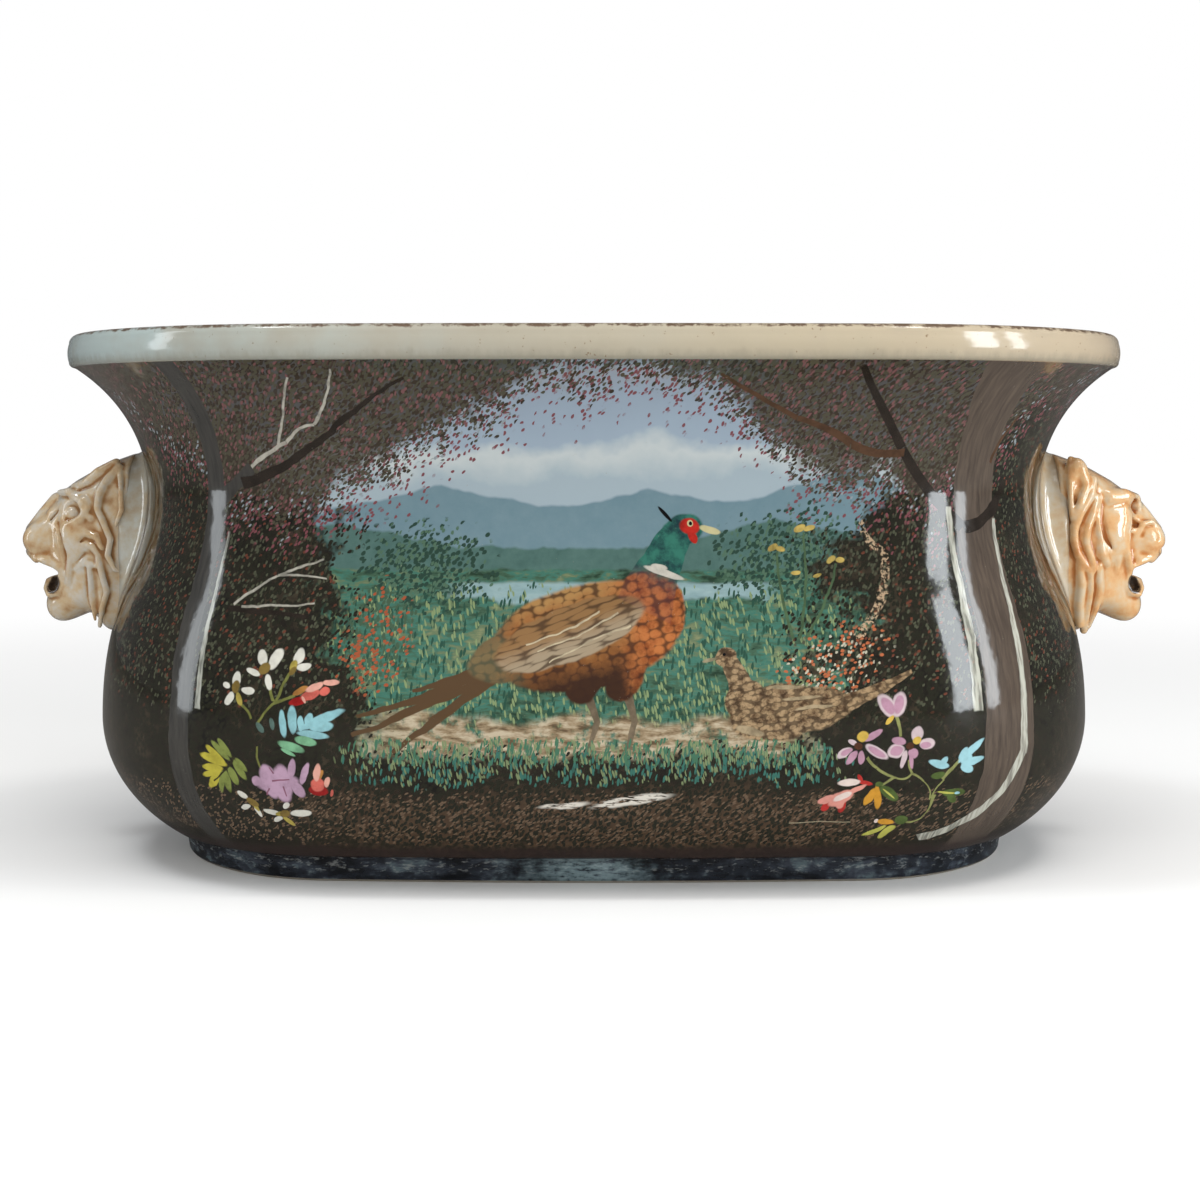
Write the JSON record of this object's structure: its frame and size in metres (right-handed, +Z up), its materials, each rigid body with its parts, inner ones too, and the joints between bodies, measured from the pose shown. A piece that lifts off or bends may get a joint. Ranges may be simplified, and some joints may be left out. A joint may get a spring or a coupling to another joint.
{
  "type": "cachepot",
  "caption": "Oval glazed ceramic cachepot with a bellied body, flared mouth, rolled rim, foot ring and a lion mask on each end.",
  "frame": {"origin": "centre of the foot, on the surface that the pot stands on", "axes": "+Z up, +X along the pot towards the right-hand lion mask, -Y towards the viewer of the main side"},
  "size_m": [0.4188, 0.2298, 0.185],
  "materials": {
    "dark_painted_glaze": "gloss",
    "white_glaze": "gloss",
    "blue_black_glaze": "worn gloss",
    "cream_glaze": "gloss",
    "pale_lustre": "gloss lustre",
    "amber_lustre": "gloss lustre"
  },
  "bodies": {
    "root": {"body_wall": "dark_painted_glaze", "floor_slab": "white_glaze", "foot_ring": "blue_black_glaze", "rim_band": "cream_glaze", "head_seat_left": "pale_lustre", "head_seat_right": "pale_lustre", "lion_mask_left": "amber_lustre", "lion_mask_right": "amber_lustre"}
  },
  "joints": []
}
